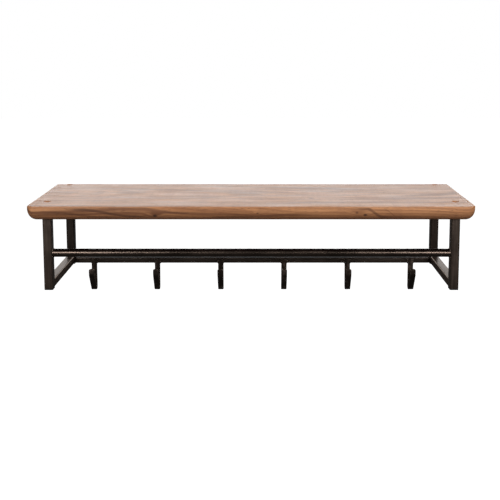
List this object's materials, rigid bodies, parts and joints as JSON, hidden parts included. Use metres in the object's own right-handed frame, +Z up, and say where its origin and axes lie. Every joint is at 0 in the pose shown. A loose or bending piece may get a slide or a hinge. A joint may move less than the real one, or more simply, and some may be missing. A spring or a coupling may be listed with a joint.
{
  "type": "wall coat rack",
  "caption": "Wall coat rack: a thick wooden shelf board on a welded dark steel frame, with a round hanging rail and a row of bent strip hooks below.",
  "frame": {"origin": "midway between the two wall screw holes, on the wall plane that the back of the rack rests on", "axes": "+X to the right seen from the front, along the shelf; the front faces -Y and the wall is behind at Y = 0; +Z up"},
  "size_m": [0.9, 0.25, 0.242],
  "materials": {
    "shelf_wood": "satin oiled hardwood, brown, with knots and long grain",
    "lacquered_steel": "dark brown-black satin lacquer over hand-finished steel",
    "lacquered_weld": "the same lacquer over rippled weld beads",
    "bare_steel": "plain zinc-grey steel, hidden inside the tube ends",
    "dark_steel_fasteners": "blackened steel screws and washers",
    "black_plastic": "fine-textured black plastic plugs"
  },
  "bodies": {
    "root": {"shelf_board": "shelf_wood", "front_upright_left": "lacquered_steel", "front_upright_right": "lacquered_steel", "rear_upright_left": "lacquered_steel", "rear_upright_right": "lacquered_steel", "side_bar_left": "lacquered_steel", "side_bar_right": "lacquered_steel", "hanging_rail": "lacquered_steel", "hook_bar": "lacquered_steel", "hook_1": "lacquered_steel", "hook_2": "lacquered_steel", "hook_3": "lacquered_steel", "hook_4": "lacquered_steel", "hook_5": "lacquered_steel", "hook_6": "lacquered_steel", "tapped_plate_front_left": "bare_steel", "tapped_plate_front_right": "bare_steel", "tapped_plate_rear_left": "bare_steel", "tapped_plate_rear_right": "bare_steel", "foot_plug_front_left": "black_plastic", "foot_plug_front_right": "black_plastic", "foot_plug_rear_left": "black_plastic", "foot_plug_rear_right": "black_plastic", "board_screws": "dark_steel_fasteners", "board_washers": "dark_steel_fasteners", "wall_plate_left": "lacquered_steel", "wall_plate_right": "lacquered_steel", "rail_welds": "lacquered_weld", "frame_welds": "lacquered_weld", "hook_welds": "lacquered_weld", "wall_plate_welds": "lacquered_weld"}
  },
  "joints": []
}
